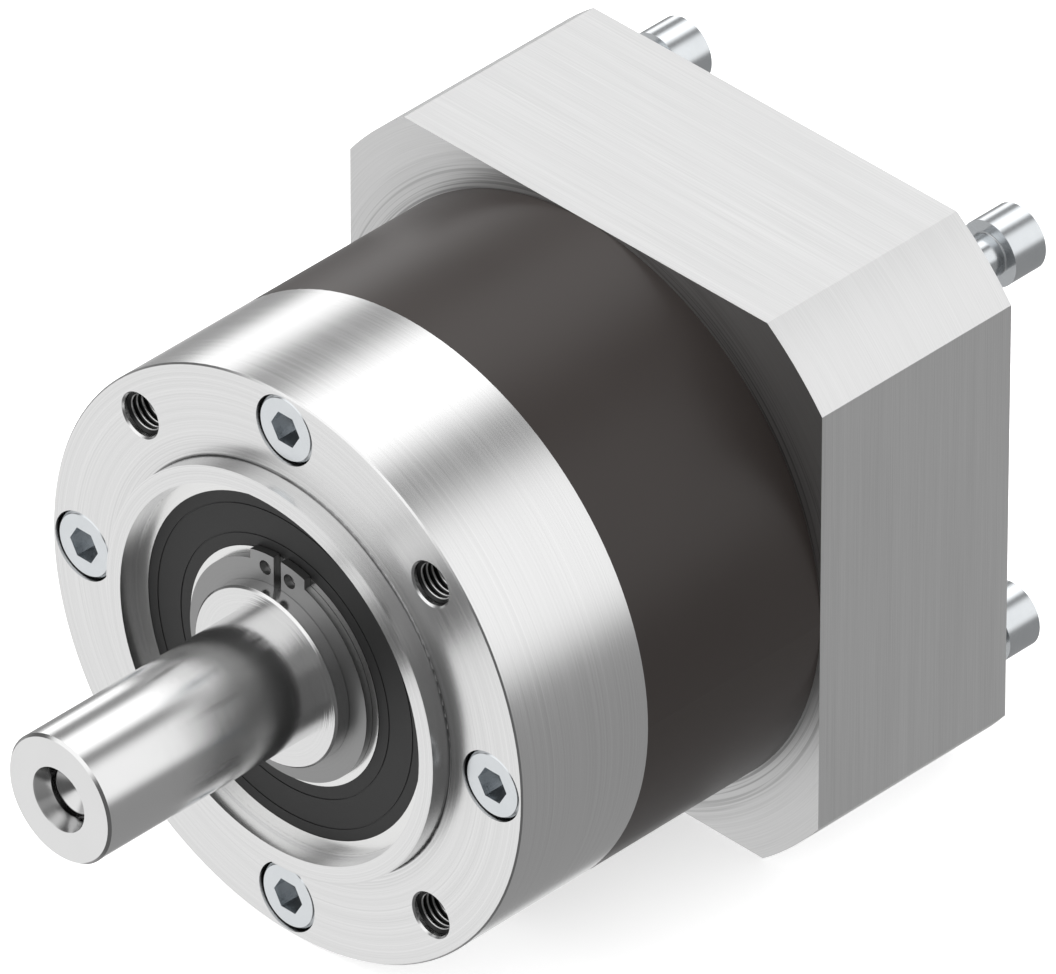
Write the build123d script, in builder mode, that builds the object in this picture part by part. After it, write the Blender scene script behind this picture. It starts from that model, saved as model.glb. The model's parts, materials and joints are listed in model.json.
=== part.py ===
from build123d import *
from math import acos, asin, cos, degrees, pi, radians, sin, tan
import os

os.makedirs("parts", exist_ok=True)

# Coaxial planetary gearbox, one stage, in millimetres.
# The axis runs along Y: the output shaft points to -Y and the motor is fitted at the +Y end.
# The origin is on the axis, in the face of the output flange. +Z is up.
# A place along the axis is written as the distance behind the flange face.

# Fits between pieces
FIT_GAP = 0.02
RUN_GAP = 0.05
SIDE_GAP = 0.05

# Output flange
FLANGE_EDGE = 0.3
COLLAR_WALL = 3.4
COLLAR_HEIGHT = 4.1
COLLAR_ROOT = 0.4
MOUTH_STEP = 0.6
MOUTH_FLOOR = -0.9
SPIGOT_STEP = 0.4125
SPIGOT_LENGTH = 5.0
SPIGOT_REACH = 2.2
SHOULDER_LIP = 1.0
SHOULDER_WIDTH = 2.0

# Bolt circle of the output flange, shared by the tie screws and the tapped holes
BOLT_WALL = 0.9
RIM_WALL = 0.65
BOLTS = 4
TAP_RADIUS = 4.25
TAP_DEPTH = 22.0
TAP_EDGE = 0.35
COUNTERBORE_GAP = 0.35
HEAD_SINK = 0.3
SCREW_HOLE_GAP = 0.5

# Socket head cap screws, size 8
SCREW_RADIUS = 4.0
HEAD_RADIUS = 6.5
HEAD_HEIGHT = 8.0
HEAD_EDGE = 0.45
HEAD_ROOT = 0.28
SOCKET_WIDTH = 6.0
SOCKET_DEPTH = 4.0
TIE_SCREW_LENGTH = 90.0
MOTOR_SCREW_LENGTH = 30.0
MOTOR_SCREW_GAP = 12.1
SCREW_POINT_ROOM = 3.0

# Motor block
BLOCK_CORNER_RADIUS = 72.5
BLOCK_SPIGOT = 3.6
PILOT_RADIUS = 47.5
PILOT_DEPTH = 4.0
MOTOR_BOLT_CIRCLE = 57.5
CLAMP_ROOM = 5.5
SLEEVE_ROOM = 4.8

# O-rings in the two spigots
O_RING_THICKNESS = 1.5
O_RING_GROOVE_WIDTH = 2.0
O_RING_GROOVE_EDGE = 0.8

# Output shaft
SHAFT_RADIUS = 12.5
SHAFT_REACH = 55.0
SHAFT_EDGE = 0.5
SEAT_REACH = 5.0
SEAT_EDGE = 0.4
CENTRE_MOUTH_RADIUS = 6.3
CENTRE_GUARD_RADIUS = 5.25
CENTRE_GUARD_DEPTH = 7.5
CENTRE_DEPTH = 30.0
CENTRE_CONE = 60.0
DRILL_POINT = 118.0

# Retaining ring on the output shaft
CIRCLIP_THICKNESS = 1.5
CIRCLIP_WIDTH = 4.1
CIRCLIP_GROOVE_DEPTH = 1.0
LUG_HEIGHT = 6.0
LUG_HALF_WIDTH = 6.6
LUG_GAP = 1.8
EYE_RADIUS = 1.4
EYE_SPREAD = 2.95
EYE_HEIGHT = 2.85

# Ball bearings: bore, outside, width, ball diameter and number of balls
FRONT_BORE = 35.0
FRONT_OUTSIDE = 72.0
FRONT_WIDTH = 17.0
FRONT_BALL = 11.1
FRONT_BALLS = 9
FRONT_PLACE = -0.3
SECOND_BORE = 40.0
SECOND_OUTSIDE = 68.0
SECOND_WIDTH = 15.0
SECOND_BALL = 7.9
SECOND_BALLS = 12
INPUT_BORE = 40.0
INPUT_OUTSIDE = 62.0
INPUT_WIDTH = 12.0
INPUT_BALL = 6.3
INPUT_BALLS = 14
GROOVE_GAP = 0.04
LAND_SHARE = 0.3
CAGE_THICKNESS = 2.2
CAGE_RIM = 1.2
POCKET_GAP = 0.12

# Rubber seals of the front bearing
SEAL_LAND = 2.5
SEAL_NOTCH = 0.37
SEAL_THICKNESS = 1.6
SEAL_SINK = 0.15
SEAL_OUTER_LINE = 2.3
SEAL_INNER_LINE = 2.45
SEAL_LINE_WIDTH = 0.3
SEAL_LINE_DEPTH = 0.15

# Gears: straight involute teeth
MODULE = 1.75
PRESSURE = radians(25)
SUN_TEETH = 12
PLANET_TEETH = 18
RING_TEETH = 2 * PLANET_TEETH + SUN_TEETH
PLANETS = 3
FIRST_PLANET_ANGLE = 90.0
BACKLASH = 0.1
ROOT_DEPTH = 1.25
FACE_WIDTH = 20.0
RING_FACE_ROOM = 2.0

# Planet carrier, one piece with the output shaft
CARRIER_TIP_ROOM = 1.75
CARRIER_ROOM = 1.0
CARRIER_REAR_ROOM = 1.0
CARRIER_COLLAR_STEP = 2.5
CARRIER_COLLAR_WIDTH = 0.8
CARRIER_FRONT_WALL = 6.5
CARRIER_REAR_WALL = 6.0
CARRIER_BORE_RADIUS = 13.5
CARRIER_BORE_ROOM = 3.0
PLANET_POCKET_ROOM = 0.75

# Planet pins, needle rollers and thrust washers
PIN_RADIUS = 6.0
NEEDLE_RADIUS = 1.25
NEEDLE_LENGTH = 17.0
NEEDLE_GAP = 0.01
WASHER_THICKNESS = 0.9
WASHER_RADIUS = 12.0

# Clamping hub, which takes the motor shaft
HUB_NOSE_RADIUS = 12.0
HUB_NOSE_LENGTH = 6.0
HUB_COLLAR_STEP = 2.5
HUB_COLLAR_WIDTH = 2.5
SLEEVE_RADIUS = 14.5
SLEEVE_LENGTH = 19.5
MOTOR_SHAFT_RADIUS = 9.5
MOTOR_BORE_DEPTH = 32.0
SUN_STUB_RADIUS = 8.0
SUN_STUB_SEAT = 14.5
SLIT_WIDTH = 1.5
SLIT_LENGTH = 16.0

# Clamp ring and its screw, size 6
CLAMP_WALL = 2.0
CLAMP_WIDTH = 16.0
CLAMP_INSET = 1.0
CLAMP_SLOT = 2.0
CLAMP_SCREW_RADIUS = 3.0
CLAMP_SCREW_WALL = 3.5
CLAMP_SCREW_LENGTH = 20.0
CLAMP_HEAD_RADIUS = 5.0
CLAMP_HEAD_HEIGHT = 6.0
CLAMP_HEAD_SEAT = 8.0
CLAMP_SOCKET_WIDTH = 5.0
CLAMP_SOCKET_DEPTH = 3.0
CLAMP_HOLE_GAP = 0.3

# Radial shaft seal and retaining ring of the input bearing
SHAFT_SEAL_STEP = 5.0
SHAFT_SEAL_WIDTH = 7.0
SHAFT_SEAL_LIP = 1.0
SHAFT_SEAL_WALL = 1.6
INPUT_CLIP_THICKNESS = 2.0
INPUT_CLIP_HEIGHT = 3.5
INPUT_CLIP_GROOVE_DEPTH = 1.5
INPUT_CLIP_LAND = 2.4
INPUT_CLIP_GAP = 14.0

# Access hole for the clamp screw, with its plug, in the left side of the block
ACCESS_RADIUS = 7.0
PLUG_LENGTH = 10.0
PLUG_SINK = 0.5
PLUG_EDGE = 0.6

# Places along the axis
front_bearing_back = FRONT_PLACE + FRONT_WIDTH
second_front = front_bearing_back + SHOULDER_WIDTH
second_back = second_front + SECOND_WIDTH
spigot_back = second_back + SPIGOT_REACH
housing_front = spigot_back - SPIGOT_LENGTH
carrier_front = second_back + CARRIER_COLLAR_WIDTH
pocket_front = carrier_front + CARRIER_FRONT_WALL
washer_room = WASHER_THICKNESS + 2 * SIDE_GAP
pocket_back = pocket_front + FACE_WIDTH + 2 * washer_room
carrier_back = pocket_back + CARRIER_REAR_WALL
gear_middle = (pocket_front + pocket_back) / 2
spigot_front = carrier_back + CARRIER_REAR_ROOM
block_front = spigot_front + BLOCK_SPIGOT
seal_front = spigot_front + SHAFT_SEAL_LIP
input_front = seal_front + SHAFT_SEAL_WIDTH
input_back = input_front + INPUT_WIDTH
hub_front = spigot_front + SIDE_GAP
nose_front = hub_front - HUB_NOSE_LENGTH
sleeve_front = input_back + HUB_COLLAR_WIDTH
sleeve_back = sleeve_front + SLEEVE_LENGTH
block_rear = sleeve_back + SLEEVE_ROOM + PILOT_DEPTH
clamp_back = sleeve_back - CLAMP_INSET
clamp_middle = clamp_back - CLAMP_WIDTH / 2
tie_screw_seat = HEAD_SINK + HEAD_HEIGHT
motor_screw_seat = block_rear + MOTOR_SCREW_GAP
circlip_back = FRONT_PLACE - SIDE_GAP
circlip_front = circlip_back - CIRCLIP_THICKNESS

# Gear sizes
sun_pitch = MODULE * SUN_TEETH / 2
planet_pitch = MODULE * PLANET_TEETH / 2
ring_pitch = MODULE * RING_TEETH / 2
planet_circle = sun_pitch + planet_pitch
tooth_root = ROOT_DEPTH * MODULE
ring_tip = ring_pitch - MODULE
needle_circle = PIN_RADIUS + RUN_GAP + NEEDLE_RADIUS
needles = int(pi / asin((NEEDLE_RADIUS + NEEDLE_GAP) / needle_circle))
planet_bore = needle_circle + NEEDLE_RADIUS + RUN_GAP
motor_screw_offset = MOTOR_BOLT_CIRCLE * cos(pi / 4)

# Radii that follow from the teeth, the screws and the bearings
carrier_radius = ring_tip - CARRIER_TIP_ROOM
carrier_collar_radius = SECOND_BORE / 2 + CARRIER_COLLAR_STEP
spigot_radius = ring_pitch + tooth_root + SPIGOT_STEP
bolt_circle = spigot_radius + BOLT_WALL + SCREW_RADIUS + SCREW_HOLE_GAP
counterbore_radius = HEAD_RADIUS + COUNTERBORE_GAP
flange_radius = bolt_circle + counterbore_radius + RIM_WALL
block_width = 2 * flange_radius
mouth_radius = FRONT_OUTSIDE / 2 + MOUTH_STEP
collar_radius = mouth_radius + COLLAR_WALL
shoulder_radius = min(FRONT_OUTSIDE, SECOND_OUTSIDE) / 2 - SHOULDER_LIP
seal_outer_radius = FRONT_OUTSIDE / 2 - SEAL_LAND
seal_inner_radius = (FRONT_BORE + FRONT_OUTSIDE) / 4 - LAND_SHARE * FRONT_BALL - SEAL_NOTCH
circlip_radius = FRONT_BORE / 2 + CIRCLIP_WIDTH
lug_radius = FRONT_BORE / 2 + LUG_HEIGHT
eye_place = FRONT_BORE / 2 + EYE_HEIGHT
hub_collar_radius = INPUT_BORE / 2 + HUB_COLLAR_STEP
shaft_seal_radius = INPUT_OUTSIDE / 2 - SHAFT_SEAL_STEP
input_clip_inner = INPUT_OUTSIDE / 2 - INPUT_CLIP_HEIGHT
input_clip_groove = INPUT_OUTSIDE / 2 + INPUT_CLIP_GROOVE_DEPTH
clamp_screw_offset = SLEEVE_RADIUS + CLAMP_SCREW_WALL + CLAMP_SCREW_RADIUS
clamp_radius = clamp_screw_offset + CLAMP_HEAD_RADIUS + CLAMP_WALL
cavity_radius = clamp_radius + CLAMP_ROOM
planet_angles = [FIRST_PLANET_ANGLE + 360 / PLANETS * count for count in range(PLANETS)]


def across(place):
    """A plane across the axis, with x to the right and y up, at a place along the axis."""
    return Plane.XZ.offset(-place)


def band(inner, outer, front, back, mode=Mode.ADD):
    """Half of the section of a ring, drawn beside the axis, to be turned about it."""
    with Locations(((inner + outer) / 2, (front + back) / 2)):
        Rectangle(outer - inner, back - front, mode=mode)


def on_circle(radius, angle):
    """The point at a radius and an angle in degrees."""
    return (radius * cos(radians(angle)), radius * sin(radians(angle)))


def rims(piece, place, radius):
    """The round edges about the axis at a place along it and of one radius."""
    circles = piece.edges().filter_by(GeomType.CIRCLE)
    there = circles.filter_by(lambda edge: abs(edge.arc_center.Y - place) < 0.01)
    return there.filter_by(lambda edge: abs(edge.radius - radius) < 0.01)


def save(piece, name):
    """Label a finished piece and write its file."""
    piece.part.label = name
    export_step(piece.part, f"parts/{name}.step")


def half_tooth(radius, pitch_radius, half_thickness):
    """Half the angle of an involute tooth at a radius, in degrees."""
    base_radius = pitch_radius * cos(PRESSURE)
    roll = acos(min(1.0, base_radius / radius))
    involute_there = tan(roll) - roll
    involute_at_pitch = tan(PRESSURE) - PRESSURE
    return degrees(half_thickness / pitch_radius + involute_at_pitch - involute_there)


def tooth(pitch_radius, inner, outer, half_thickness):
    """One tooth, or the space between two teeth of a ring gear, on the x axis."""
    low = max(inner, pitch_radius * cos(PRESSURE))
    root = half_tooth(low, pitch_radius, half_thickness)
    middle = half_tooth(pitch_radius, pitch_radius, half_thickness)
    tip = half_tooth(outer, pitch_radius, half_thickness)
    with BuildSketch() as outline:
        with BuildLine():
            ThreePointArc(on_circle(low, root), on_circle(pitch_radius, middle), on_circle(outer, tip))
            Line(on_circle(outer, tip), on_circle(outer, -tip))
            ThreePointArc(on_circle(outer, -tip), on_circle(pitch_radius, -middle), on_circle(low, -root))
            Line(on_circle(low, -root), on_circle(inner - MODULE / 4, -root))
            Line(on_circle(inner - MODULE / 4, -root), on_circle(inner - MODULE / 4, root))
            Line(on_circle(inner - MODULE / 4, root), on_circle(low, root))
        make_face()
    return outline.sketch


def outer_tooth(pitch_radius):
    """A tooth of an external gear, thinned by its half of the backlash."""
    half_thickness = (pi * MODULE / 2 - BACKLASH / 2) / 2
    return tooth(pitch_radius, pitch_radius - tooth_root, pitch_radius + MODULE, half_thickness)


def cap_screw(radius, length, head_radius, head_height, socket_width, socket_depth):
    """A socket head cap screw that stands on its seat at the origin, with its head up."""
    with BuildPart() as screw:
        with BuildSketch(Plane.XZ):
            band(0, radius, -length, 0)
            band(0, head_radius, 0, head_height)
        revolve(axis=Axis.Z)
        chamfer(screw.edges().group_by(Axis.Z)[-1], HEAD_EDGE)
        chamfer(screw.edges().group_by(Axis.Z)[0], radius / 4)
        circles = screw.edges().filter_by(GeomType.CIRCLE)
        root = circles.filter_by(lambda edge: abs(edge.radius - radius) < 0.01)
        fillet(root.group_by(Axis.Z)[-1], HEAD_ROOT)
        with BuildSketch(Plane.XY.offset(head_height)):
            RegularPolygon(socket_width / 2, 6, major_radius=False)
        extrude(amount=-socket_depth, mode=Mode.SUBTRACT)
    return screw.part


def ball_bearing(name, bore, outside, width, ball, balls, front, seal_depth=0.0):
    """The rings, balls and cage of a deep groove ball bearing."""
    pitch = (bore + outside) / 4
    middle = front + width / 2
    inner_land = pitch - LAND_SHARE * ball
    outer_land = pitch + LAND_SHARE * ball
    with BuildPart() as outer_ring:
        with BuildSketch(Plane.XY):
            band(outer_land, outside / 2, front, front + width)
            with Locations((pitch, middle)):
                Circle(ball / 2 + GROOVE_GAP, mode=Mode.SUBTRACT)
            if seal_depth:
                band(outer_land, seal_outer_radius, front, front + seal_depth, Mode.SUBTRACT)
                back = front + width
                band(outer_land, seal_outer_radius, back - seal_depth, back, Mode.SUBTRACT)
        revolve(axis=Axis.Y)
    save(outer_ring, f"{name}_outer_ring")
    with BuildPart() as inner_ring:
        with BuildSketch(Plane.XY):
            band(bore / 2, inner_land, front, front + width)
            with Locations((pitch, middle)):
                Circle(ball / 2 + GROOVE_GAP, mode=Mode.SUBTRACT)
        revolve(axis=Axis.Y)
        if seal_depth:
            land = seal_inner_radius - RUN_GAP
            with BuildSketch(Plane.XY):
                band(land, inner_land, front, front + seal_depth)
                band(land, inner_land, front + width - seal_depth, front + width)
            revolve(axis=Axis.Y, mode=Mode.SUBTRACT)
    save(inner_ring, f"{name}_inner_ring")
    with BuildPart() as ball_set:
        with Locations(across(middle).location):
            with PolarLocations(pitch, balls):
                Sphere(ball / 2)
    save(ball_set, f"{name}_balls")
    with BuildPart() as cage:
        reach = ball / 2 + CAGE_RIM
        with BuildSketch(Plane.XY):
            half_sheet = CAGE_THICKNESS / 2
            band(pitch - half_sheet, pitch + half_sheet, middle - reach, middle + reach)
        revolve(axis=Axis.Y)
        with Locations(across(middle).location):
            with PolarLocations(pitch, balls):
                Cylinder(ball / 2 + POCKET_GAP, CAGE_THICKNESS * 2, rotation=(0, 90, 0), mode=Mode.SUBTRACT)
    save(cage, f"{name}_cage")


def o_ring(place):
    """An O-ring in the groove of a spigot, whose middle is at a place along the axis."""
    with BuildPart() as ring:
        with BuildSketch(Plane.XY):
            with Locations((spigot_radius - O_RING_THICKNESS / 2 - FIT_GAP, place)):
                Circle(O_RING_THICKNESS / 2)
        revolve(axis=Axis.Y)
    return ring


def o_ring_groove(place):
    """The section of an O-ring groove in a spigot, to be taken away."""
    floor = spigot_radius - O_RING_THICKNESS - 2 * FIT_GAP
    half_width = O_RING_GROOVE_WIDTH / 2
    band(floor, spigot_radius, place - half_width, place + half_width, Mode.SUBTRACT)


# Output flange: a turned housing with the locating collar and the seats of both output bearings
front_o_ring_place = housing_front + O_RING_GROOVE_EDGE + O_RING_GROOVE_WIDTH / 2
with BuildPart() as output_flange:
    with BuildSketch(Plane.XY):
        band(0, flange_radius, 0, housing_front)
        band(0, collar_radius, -COLLAR_HEIGHT, 0)
        band(0, spigot_radius, housing_front, spigot_back)
        band(0, mouth_radius, -COLLAR_HEIGHT, MOUTH_FLOOR, Mode.SUBTRACT)
        band(0, FRONT_OUTSIDE / 2 + FIT_GAP, MOUTH_FLOOR, front_bearing_back, Mode.SUBTRACT)
        band(0, shoulder_radius, front_bearing_back, second_front, Mode.SUBTRACT)
        band(0, SECOND_OUTSIDE / 2 + FIT_GAP, second_front, spigot_back, Mode.SUBTRACT)
        band(0, carrier_radius + CARRIER_ROOM, second_back, spigot_back, Mode.SUBTRACT)
        o_ring_groove(front_o_ring_place)
    revolve(axis=Axis.Y)
    chamfer(rims(output_flange, 0, flange_radius), FLANGE_EDGE)
    fillet(rims(output_flange, 0, collar_radius), COLLAR_ROOT)
    with BuildSketch(across(0)):
        with PolarLocations(bolt_circle, BOLTS):
            Circle(counterbore_radius)
    extrude(amount=-tie_screw_seat, mode=Mode.SUBTRACT)
    with BuildSketch(across(0)):
        with PolarLocations(bolt_circle, BOLTS):
            Circle(SCREW_RADIUS + SCREW_HOLE_GAP)
    extrude(amount=-housing_front, mode=Mode.SUBTRACT)
    with BuildSketch(across(0)):
        with PolarLocations(bolt_circle, BOLTS, start_angle=180 / BOLTS):
            Circle(TAP_RADIUS)
    extrude(amount=-TAP_DEPTH, mode=Mode.SUBTRACT)
    tap_rims = output_flange.edges().filter_by(GeomType.CIRCLE)
    tap_rims = tap_rims.filter_by(lambda edge: abs(edge.radius - TAP_RADIUS) < 0.01)
    chamfer(tap_rims.group_by(Axis.Y)[0], TAP_EDGE)
save(output_flange, "output_flange")

# Ring gear housing: the teeth of the ring gear are cut in its wall
ring_half_space = (pi * MODULE / 2 + BACKLASH / 2) / 2
ring_space = tooth(ring_pitch, ring_tip, ring_pitch + tooth_root, ring_half_space)
ring_front = gear_middle - FACE_WIDTH / 2 - RING_FACE_ROOM
ring_back = gear_middle + FACE_WIDTH / 2 + RING_FACE_ROOM
with BuildPart() as ring_gear_housing:
    with BuildSketch(Plane.XY):
        band(spigot_radius + FIT_GAP, flange_radius, housing_front, block_front)
        band(ring_tip, flange_radius, ring_front, ring_back)
    revolve(axis=Axis.Y)
    with BuildSketch(across(ring_front)):
        with PolarLocations(0, RING_TEETH):
            add(ring_space)
    extrude(amount=ring_front - ring_back, mode=Mode.SUBTRACT)
    with BuildSketch(across(housing_front)):
        with PolarLocations(bolt_circle, BOLTS):
            Circle(SCREW_RADIUS + SCREW_HOLE_GAP)
    extrude(amount=housing_front - block_front, mode=Mode.SUBTRACT)
save(ring_gear_housing, "ring_gear_housing")

# Motor block: a square bar with turned corners, bored for the seal, the input bearing and the hub
rear_o_ring_place = block_front - BLOCK_SPIGOT / 2
tie_hole_back = tie_screw_seat + TIE_SCREW_LENGTH + SCREW_POINT_ROOM
motor_hole_depth = MOTOR_SCREW_LENGTH - MOTOR_SCREW_GAP + SCREW_POINT_ROOM
clip_groove_back = input_back + INPUT_CLIP_THICKNESS + 2 * SIDE_GAP
cavity_front = clip_groove_back + INPUT_CLIP_LAND
with BuildPart() as motor_block:
    with BuildSketch(across(block_front)):
        Rectangle(block_width, block_width)
        Circle(BLOCK_CORNER_RADIUS, mode=Mode.INTERSECT)
    extrude(amount=block_front - block_rear)
    with BuildSketch(Plane.XY):
        band(0, spigot_radius, spigot_front, block_front)
        o_ring_groove(rear_o_ring_place)
    revolve(axis=Axis.Y)
    with BuildSketch(Plane.XY):
        band(0, hub_collar_radius, spigot_front, seal_front)
        band(0, shaft_seal_radius + FIT_GAP, seal_front, input_front)
        band(0, INPUT_OUTSIDE / 2 + FIT_GAP, input_front, input_back)
        band(0, input_clip_groove, input_back, clip_groove_back)
        band(0, INPUT_OUTSIDE / 2 + FIT_GAP, clip_groove_back, cavity_front)
        band(0, cavity_radius, cavity_front, block_rear)
        band(0, PILOT_RADIUS, block_rear - PILOT_DEPTH, block_rear)
    revolve(axis=Axis.Y, mode=Mode.SUBTRACT)
    with BuildSketch(across(block_front)):
        with PolarLocations(bolt_circle, BOLTS):
            Circle(SCREW_RADIUS + FIT_GAP)
    extrude(amount=block_front - tie_hole_back, mode=Mode.SUBTRACT)
    with BuildSketch(across(block_rear)):
        with GridLocations(2 * motor_screw_offset, 2 * motor_screw_offset, 2, 2):
            Circle(SCREW_RADIUS + FIT_GAP)
    extrude(amount=motor_hole_depth, mode=Mode.SUBTRACT)
    with BuildSketch(Plane.YZ.offset(-block_width / 2)):
        with Locations((clamp_middle, clamp_screw_offset)):
            Circle(ACCESS_RADIUS)
    extrude(amount=block_width / 2 - cavity_radius / 2, mode=Mode.SUBTRACT)
save(motor_block, "motor_block")

# Cap screws: four long ones tie the three housings together, four wait for the motor
long_screw = cap_screw(
    SCREW_RADIUS, TIE_SCREW_LENGTH, HEAD_RADIUS, HEAD_HEIGHT, SOCKET_WIDTH, SOCKET_DEPTH
)
short_screw = cap_screw(
    SCREW_RADIUS, MOTOR_SCREW_LENGTH, HEAD_RADIUS, HEAD_HEIGHT, SOCKET_WIDTH, SOCKET_DEPTH
)
with BuildPart() as tie_screws:
    with Locations(across(tie_screw_seat).location):
        with PolarLocations(bolt_circle, BOLTS, rotate=False):
            add(long_screw)
save(tie_screws, "tie_screws")

facing_back = Plane(origin=(0, motor_screw_seat, 0), x_dir=(1, 0, 0), z_dir=(0, 1, 0))
with BuildPart() as motor_screws:
    with Locations(facing_back.location):
        with GridLocations(2 * motor_screw_offset, 2 * motor_screw_offset, 2, 2):
            add(short_screw)
save(motor_screws, "motor_screws")

# O-rings between the housings
front_o_ring = o_ring(front_o_ring_place)
save(front_o_ring, "front_o_ring")
rear_o_ring = o_ring(rear_o_ring_place)
save(rear_o_ring, "rear_o_ring")

# Output shaft and planet carrier in one piece
planet_tip = planet_pitch + MODULE
cone_length = (CENTRE_MOUTH_RADIUS - CENTRE_GUARD_RADIUS) / tan(radians(CENTRE_CONE / 2))
point_length = TAP_RADIUS / tan(radians(DRILL_POINT / 2))
groove_floor = FRONT_BORE / 2 - CIRCLIP_GROOVE_DEPTH
with BuildPart() as output_shaft:
    with BuildSketch(Plane.XY):
        band(0, SHAFT_RADIUS, -SHAFT_REACH, -SEAT_REACH)
        band(0, FRONT_BORE / 2 - FIT_GAP, -SEAT_REACH, second_front)
        band(0, SECOND_BORE / 2 - FIT_GAP, second_front, second_back)
        band(0, carrier_collar_radius, second_back, carrier_front)
        band(0, carrier_radius, carrier_front, carrier_back)
        band(0, CARRIER_BORE_RADIUS, pocket_front - CARRIER_BORE_ROOM, carrier_back, Mode.SUBTRACT)
        band(groove_floor, FRONT_BORE / 2, circlip_front - SIDE_GAP, circlip_back, Mode.SUBTRACT)
    revolve(axis=Axis.Y)
    chamfer(rims(output_shaft, -SHAFT_REACH, SHAFT_RADIUS), SHAFT_EDGE)
    chamfer(rims(output_shaft, -SEAT_REACH, FRONT_BORE / 2 - FIT_GAP), SEAT_EDGE)
    with BuildSketch(Plane.XY):
        with BuildLine():
            Polyline(
                (0, -SHAFT_REACH),
                (CENTRE_MOUTH_RADIUS, -SHAFT_REACH),
                (CENTRE_GUARD_RADIUS, -SHAFT_REACH + cone_length),
                (CENTRE_GUARD_RADIUS, -SHAFT_REACH + CENTRE_GUARD_DEPTH),
                (TAP_RADIUS, -SHAFT_REACH + CENTRE_GUARD_DEPTH),
                (TAP_RADIUS, -SHAFT_REACH + CENTRE_DEPTH),
                (0, -SHAFT_REACH + CENTRE_DEPTH + point_length),
                close=True,
            )
        make_face()
    revolve(axis=Axis.Y, mode=Mode.SUBTRACT)
    with BuildSketch(across(pocket_front)):
        with PolarLocations(planet_circle, PLANETS, start_angle=FIRST_PLANET_ANGLE):
            Circle(planet_tip + PLANET_POCKET_ROOM)
    extrude(amount=pocket_front - pocket_back, mode=Mode.SUBTRACT)
    with BuildSketch(across(carrier_front)):
        with PolarLocations(planet_circle, PLANETS, start_angle=FIRST_PLANET_ANGLE):
            Circle(PIN_RADIUS + FIT_GAP)
    extrude(amount=carrier_front - carrier_back, mode=Mode.SUBTRACT)
save(output_shaft, "output_shaft")

# Retaining ring in the groove in front of the bearing: a split ring with two lugs and their eyes
with BuildPart() as shaft_circlip:
    with BuildSketch(across(circlip_back)):
        Circle(lug_radius)
        with Locations((0, lug_radius)):
            Rectangle(2 * LUG_HALF_WIDTH, 2 * lug_radius, mode=Mode.INTERSECT)
        Circle(circlip_radius)
        Circle(groove_floor + FIT_GAP, mode=Mode.SUBTRACT)
        with Locations((0, lug_radius)):
            Rectangle(LUG_GAP, 2 * lug_radius - 2 * FIT_GAP, mode=Mode.SUBTRACT)
        with Locations((EYE_SPREAD, eye_place), (-EYE_SPREAD, eye_place)):
            Circle(EYE_RADIUS, mode=Mode.SUBTRACT)
    extrude(amount=CIRCLIP_THICKNESS)
save(shaft_circlip, "shaft_circlip")

# Front bearing, sealed on both sides, then the second output bearing and the input bearing
seal_depth = SEAL_SINK + SEAL_THICKNESS + SIDE_GAP
ball_bearing(
    "front_bearing", FRONT_BORE, FRONT_OUTSIDE, FRONT_WIDTH, FRONT_BALL, FRONT_BALLS, FRONT_PLACE, seal_depth
)
ball_bearing(
    "second_bearing", SECOND_BORE, SECOND_OUTSIDE, SECOND_WIDTH, SECOND_BALL, SECOND_BALLS, second_front
)
ball_bearing(
    "input_bearing", INPUT_BORE, INPUT_OUTSIDE, INPUT_WIDTH, INPUT_BALL, INPUT_BALLS, input_front
)

# Rubber seals: the front one shows, with two fine circles in its face
seal_face = FRONT_PLACE + SEAL_SINK
with BuildPart() as front_bearing_seals:
    with BuildSketch(Plane.XY):
        band(seal_inner_radius, seal_outer_radius - FIT_GAP, seal_face, seal_face + SEAL_THICKNESS)
        for radius in (seal_outer_radius - SEAL_OUTER_LINE, seal_inner_radius + SEAL_INNER_LINE):
            half_line = SEAL_LINE_WIDTH / 2
            band(radius - half_line, radius + half_line, seal_face, seal_face + SEAL_LINE_DEPTH, Mode.SUBTRACT)
        far_face = front_bearing_back - SEAL_SINK
        band(seal_inner_radius, seal_outer_radius - FIT_GAP, far_face - SEAL_THICKNESS, far_face)
    revolve(axis=Axis.Y)
save(front_bearing_seals, "front_bearing_seals")

# Planet gears, each turned so that a tooth points straight outwards into a space of the ring gear
planet_tooth = outer_tooth(planet_pitch)
for number, angle in enumerate(planet_angles, start=1):
    centre = on_circle(planet_circle, angle)
    with BuildPart() as planet_gear:
        with BuildSketch(across(gear_middle - FACE_WIDTH / 2)):
            with Locations(centre):
                Circle(planet_pitch - tooth_root)
                with PolarLocations(0, PLANET_TEETH, start_angle=angle):
                    add(planet_tooth)
                Circle(planet_bore, mode=Mode.SUBTRACT)
        extrude(amount=-FACE_WIDTH)
    save(planet_gear, f"planet_gear_{number}")

# Planet pins through both walls of the carrier
with BuildPart() as planet_pins:
    with BuildSketch(across(carrier_front)):
        with PolarLocations(planet_circle, PLANETS, start_angle=FIRST_PLANET_ANGLE):
            Circle(PIN_RADIUS)
    extrude(amount=carrier_front - carrier_back)
save(planet_pins, "planet_pins")

# Needle rollers, a full ring round each pin
with BuildPart() as planet_needles:
    with BuildSketch(across(gear_middle - NEEDLE_LENGTH / 2)):
        with PolarLocations(planet_circle, PLANETS, start_angle=FIRST_PLANET_ANGLE):
            with PolarLocations(needle_circle, needles):
                Circle(NEEDLE_RADIUS)
    extrude(amount=-NEEDLE_LENGTH)
save(planet_needles, "planet_needles")

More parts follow.
